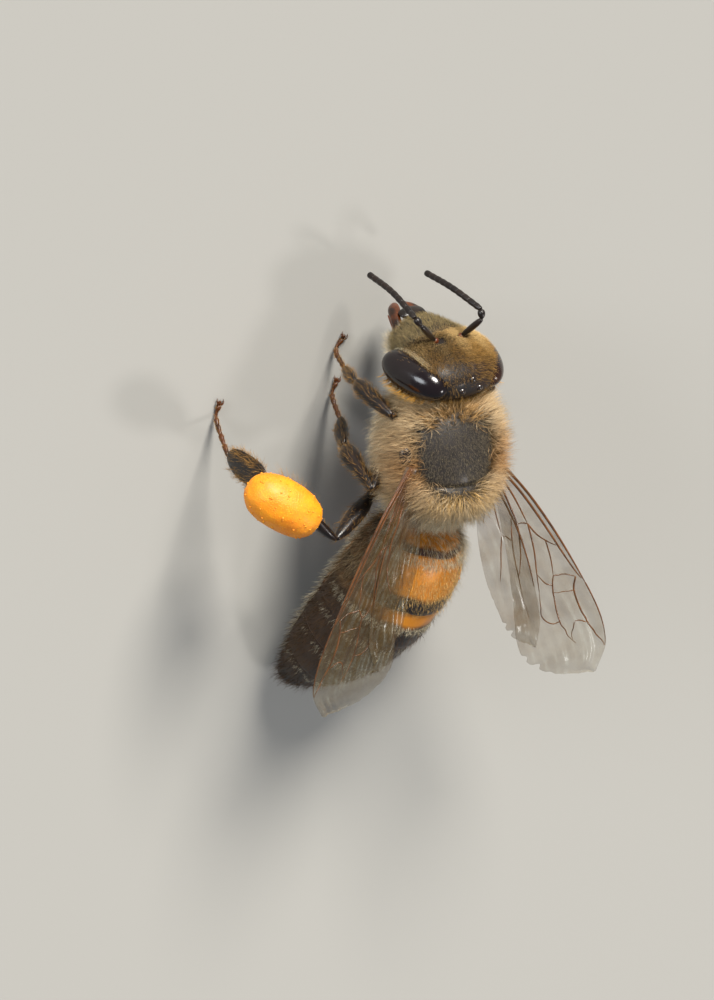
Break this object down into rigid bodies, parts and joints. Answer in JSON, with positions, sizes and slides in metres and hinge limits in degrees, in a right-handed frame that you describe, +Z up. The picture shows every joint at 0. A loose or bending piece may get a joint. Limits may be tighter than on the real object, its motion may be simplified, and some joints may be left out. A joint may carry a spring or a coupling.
{
  "type": "honey bee",
  "caption": "Still life-size honey bee worker standing on its feet, wings half open, with a pollen load on each hind leg.",
  "frame": {"origin": "bottom centre of the bounding box, on the floor under the middle of the bee", "axes": "+Z up, the head towards -Y, the bee's left side towards +X"},
  "size_m": [0.0126, 0.015, 0.0063],
  "materials": {
    "coat": "dense dry hair over black shell",
    "dark_shell": "glossy black-brown shell with fine hair",
    "amber_shell": "glossy amber-brown shell",
    "banded_shell": "satin shell, amber with dark bands and short hair",
    "eye": "glossy, finely faceted",
    "wing_membrane": "thin clear membrane with brown veins",
    "pollen": "packed moist grains, waxy"
  },
  "bodies": {
    "root": {"head": "coat", "thorax": "coat", "proboscis": "amber_shell", "eye_left": "eye", "mandible_left": "amber_shell", "scape_left": "dark_shell", "flagellum_left": "dark_shell", "tegula_left": "dark_shell", "forewing_left": "wing_membrane", "hindwing_left": "wing_membrane", "pollen_left": "pollen", "femur_fore_left": "dark_shell", "tibia_fore_left": "dark_shell", "basitarsus_fore_left": "dark_shell", "tarsus_fore_left": "dark_shell", "femur_mid_left": "dark_shell", "tibia_mid_left": "dark_shell", "basitarsus_mid_left": "dark_shell", "tarsus_mid_left": "dark_shell", "femur_hind_left": "dark_shell", "tibia_hind_left": "dark_shell", "basitarsus_hind_left": "dark_shell", "tarsus_hind_left": "dark_shell", "eye_right": "eye", "mandible_right": "amber_shell", "scape_right": "dark_shell", "flagellum_right": "dark_shell", "tegula_right": "dark_shell", "forewing_right": "wing_membrane", "hindwing_right": "wing_membrane", "pollen_right": "pollen", "femur_fore_right": "dark_shell", "tibia_fore_right": "dark_shell", "basitarsus_fore_right": "dark_shell", "tarsus_fore_right": "dark_shell", "femur_mid_right": "dark_shell", "tibia_mid_right": "dark_shell", "basitarsus_mid_right": "dark_shell", "tarsus_mid_right": "dark_shell", "femur_hind_right": "dark_shell", "tibia_hind_right": "dark_shell", "basitarsus_hind_right": "dark_shell", "tarsus_hind_right": "dark_shell", "abdomen_1": "banded_shell", "abdomen_2": "banded_shell", "abdomen_3": "banded_shell", "abdomen_4": "banded_shell", "abdomen_5": "banded_shell", "abdomen_6": "banded_shell"}
  },
  "joints": []
}
